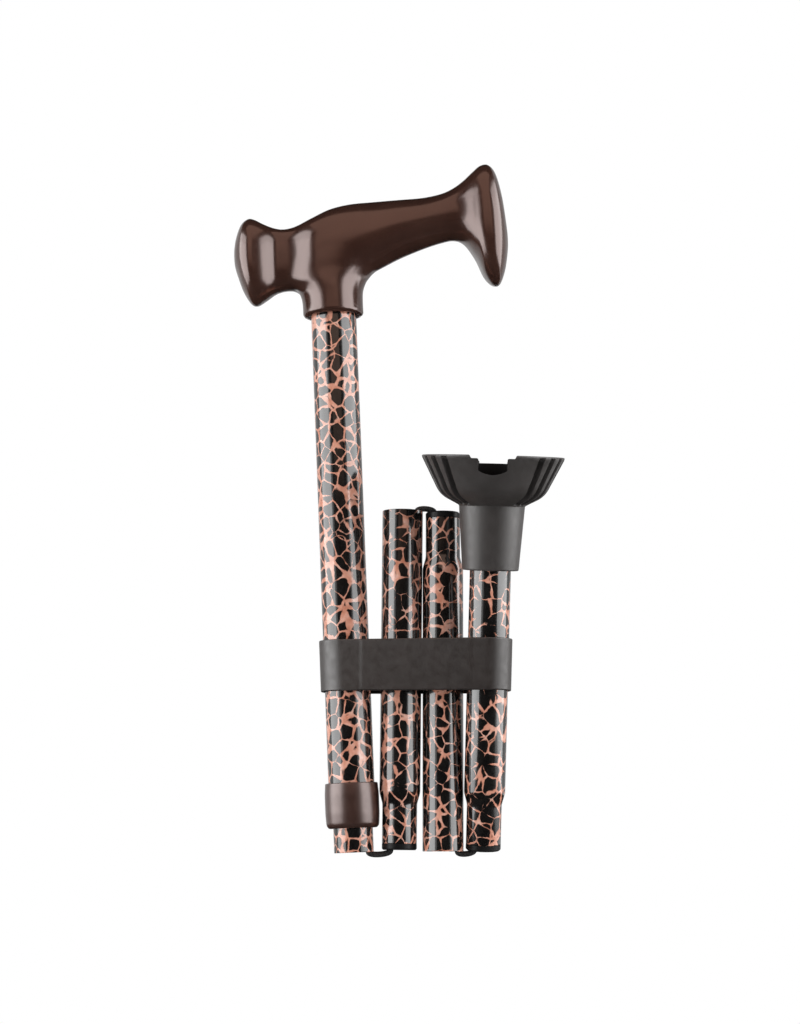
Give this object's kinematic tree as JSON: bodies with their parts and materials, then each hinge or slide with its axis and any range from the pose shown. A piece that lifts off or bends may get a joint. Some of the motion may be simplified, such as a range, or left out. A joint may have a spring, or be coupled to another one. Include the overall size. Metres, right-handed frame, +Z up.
{
  "type": "folding cane",
  "caption": "Folding walking cane, folded: moulded T handle, telescoping upper tube with twist collar, corded fold tubes, ribbed rubber foot and a storage strap.",
  "frame": {"origin": "on the upper tube's axis inside the grip, where the hand holds the cane", "axes": "+Z up the upper tube, +X from the tube towards the handle's flared end and the folded tubes, +Y to the back"},
  "size_m": [0.1562, 0.0774, 0.3398],
  "materials": {
    "handle_plastic": "glossy dark brown moulding",
    "collar_plastic": "satin brown moulding",
    "tube_print": "glossy black with a net of copper lines",
    "black_plastic": "matte black",
    "cord": "black braided elastic",
    "steel": "plain steel",
    "foot_rubber": "matte charcoal rubber",
    "strap_rubber": "satin charcoal rubber"
  },
  "bodies": {
    "handle": {"handle_grip": "handle_plastic", "upper_tube": "tube_print", "collet_bushing": "black_plastic"},
    "collar": {"lock_collar": "collar_plastic"},
    "inner": {"inner_tube": "tube_print", "snap_spring": "steel", "top_anchor": "black_plastic", "top_knot": "cord", "cord_run_1": "cord"},
    "button": {"snap_button": "steel"},
    "link_1": {"cord_loop_1": "cord"},
    "segment_2": {"tube_2": "tube_print", "grommet_2": "black_plastic", "cord_run_2": "cord"},
    "link_2": {"cord_loop_2": "cord"},
    "segment_3": {"tube_3": "tube_print", "grommet_3": "black_plastic", "cord_run_3": "cord"},
    "link_3": {"cord_loop_3": "cord"},
    "segment_4": {"tube_4": "tube_print", "grommet_4": "black_plastic", "cord_run_4": "cord", "bottom_anchor": "black_plastic", "bottom_knot": "cord", "rubber_foot": "foot_rubber"},
    "strap": {"storage_strap": "strap_rubber"}
  },
  "joints": [
    {"name": "collar_turn", "type": "hinge", "parent": "handle", "child": "collar", "pos_m": [0, 0, -0.27505], "axis": [0, 0, 1], "range_deg": [0, 180]},
    {"name": "height_adjust", "type": "slide", "parent": "handle", "child": "inner", "axis": [0, 0, -1], "range_m": [0, 0.12], "deforming": ["storage_strap"]},
    {"name": "button_press", "type": "slide", "parent": "inner", "child": "button", "axis": [0, -1, 0], "range_m": [0, 0.003], "stiffness_N_per_m": 400, "deforming": ["snap_spring"]},
    {"name": "seat_1", "type": "slide", "parent": "inner", "child": "link_1", "axis": [0, 0, 1], "range_m": [0, 0.0224], "deforming": ["cord_loop_1"]},
    {"name": "fold_1", "type": "hinge", "parent": "link_1", "child": "segment_2", "pos_m": [0.01082, 0, -0.29722], "axis": [0, 1, 0], "range_deg": [0, 177.08], "deforming": ["cord_loop_1", "storage_strap"]},
    {"name": "seat_2", "type": "slide", "parent": "segment_2", "child": "link_2", "axis": [-0.0509, 0, -0.9987], "range_m": [0, 0.02242], "deforming": ["cord_loop_2"]},
    {"name": "fold_2", "type": "hinge", "parent": "link_2", "child": "segment_3", "pos_m": [0.03974, 0, -0.13432], "axis": [0, -1, 0], "range_deg": [0, 179.52], "deforming": ["cord_loop_2"]},
    {"name": "seat_3", "type": "slide", "parent": "segment_3", "child": "link_3", "axis": [0.0424, 0, 0.9991], "range_m": [0, 0.02242], "deforming": ["cord_loop_3"]},
    {"name": "fold_3", "type": "hinge", "parent": "link_3", "child": "segment_4", "pos_m": [0.05211, 0, -0.29879], "axis": [-0.0015, 0.9975, 0.0699], "range_deg": [0, 178.66], "deforming": ["cord_loop_3"]},
    {"name": "strap_slide", "type": "slide", "parent": "inner", "child": "strap", "axis": [0, 0, -1], "range_m": [0, 0.04], "deforming": ["storage_strap"]}
  ],
  "couplings": [
    {"joint": "fold_2", "follows": "fold_1", "ratio": 1.0137},
    {"joint": "fold_3", "follows": "fold_1", "ratio": 1.0089},
    {"joint": "seat_2", "follows": "seat_1", "ratio": 1},
    {"joint": "seat_3", "follows": "seat_1", "ratio": 1}
  ]
}
